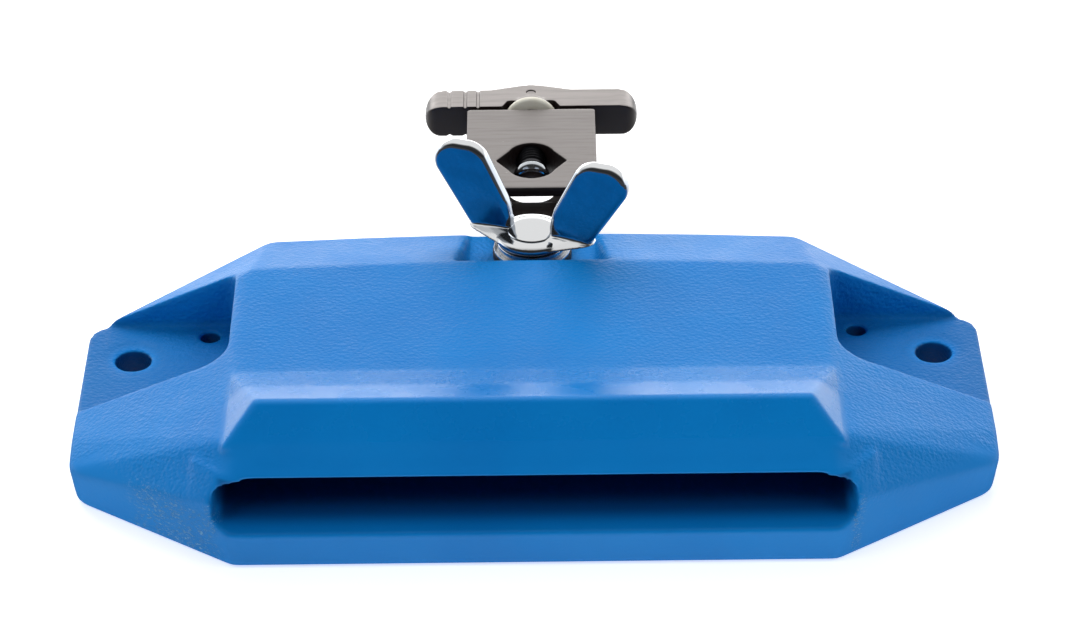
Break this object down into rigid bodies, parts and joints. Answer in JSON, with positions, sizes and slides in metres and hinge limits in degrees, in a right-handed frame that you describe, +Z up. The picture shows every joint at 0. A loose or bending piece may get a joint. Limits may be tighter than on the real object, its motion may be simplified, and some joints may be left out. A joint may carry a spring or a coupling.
{
  "type": "woodblock",
  "caption": "Moulded plastic woodblock with a striking ridge over a slot-shaped sound chamber, drilled ears, and a swivelling rod clamp held by a wing nut.",
  "frame": {"origin": "centre of the block's flat underside", "axes": "+X along the block to the player's right, +Y to the back towards the rod clamp, +Z up"},
  "size_m": [0.23, 0.1841, 0.0538],
  "materials": {
    "shell_plastic": "moulded blue plastic, satin, with a fine leather grain",
    "bolt_steel": "bright plated steel",
    "ring_rubber": "matt black",
    "clamp_metal": "satin black coating on cast metal",
    "washer_steel": "bright plated steel",
    "nut_chrome": "mirror-bright chrome on cast metal",
    "screw_steel": "bright plated steel",
    "pad_steel": "polished steel",
    "spring_steel": "dark spring steel",
    "handle_metal": "satin black coating on cast metal",
    "handle_washer_nylon": "pale nylon, nearly white"
  },
  "bodies": {
    "block": {"block_shell": "shell_plastic", "carriage_bolt": "bolt_steel", "grip_ring": "ring_rubber"},
    "clamp": {"clamp_body": "clamp_metal", "nut_washer": "washer_steel"},
    "nut_lift": {"lock_washer": "washer_steel"},
    "nut": {"wing_nut": "nut_chrome"},
    "jaw": {"swivel_pad": "pad_steel"},
    "handle": {"clamp_screw": "screw_steel", "t_handle": "handle_metal", "handle_pin": "screw_steel", "handle_washer": "handle_washer_nylon", "tip_ring": "spring_steel"}
  },
  "joints": [
    {"name": "clamp_swing", "type": "hinge", "parent": "block", "child": "clamp", "pos_m": [0, 0.0482, 0.0233], "axis": [0, 0, 1], "range_deg": [-25, 25]},
    {"name": "nut_rise", "type": "slide", "parent": "block", "child": "nut_lift", "axis": [0, 0, 1], "range_m": [0, 0.00187]},
    {"name": "nut_turn", "type": "hinge", "parent": "nut_lift", "child": "nut", "pos_m": [0, 0.0482, 0.0272], "axis": [0, 0, 1], "range_deg": [0, 450]},
    {"name": "jaw_slide", "type": "slide", "parent": "clamp", "child": "jaw", "axis": [0, 1, 0], "range_m": [0, 0.00609]},
    {"name": "handle_turn", "type": "hinge", "parent": "jaw", "child": "handle", "pos_m": [0, 0.1, 0.025], "axis": [0, 1, 0], "range_deg": [0, 1755]}
  ],
  "couplings": [
    {"joint": "nut_turn", "follows": "nut_rise", "rad_per_m": 4188.8},
    {"joint": "handle_turn", "follows": "jaw_slide", "rad_per_m": 5026.6}
  ]
}
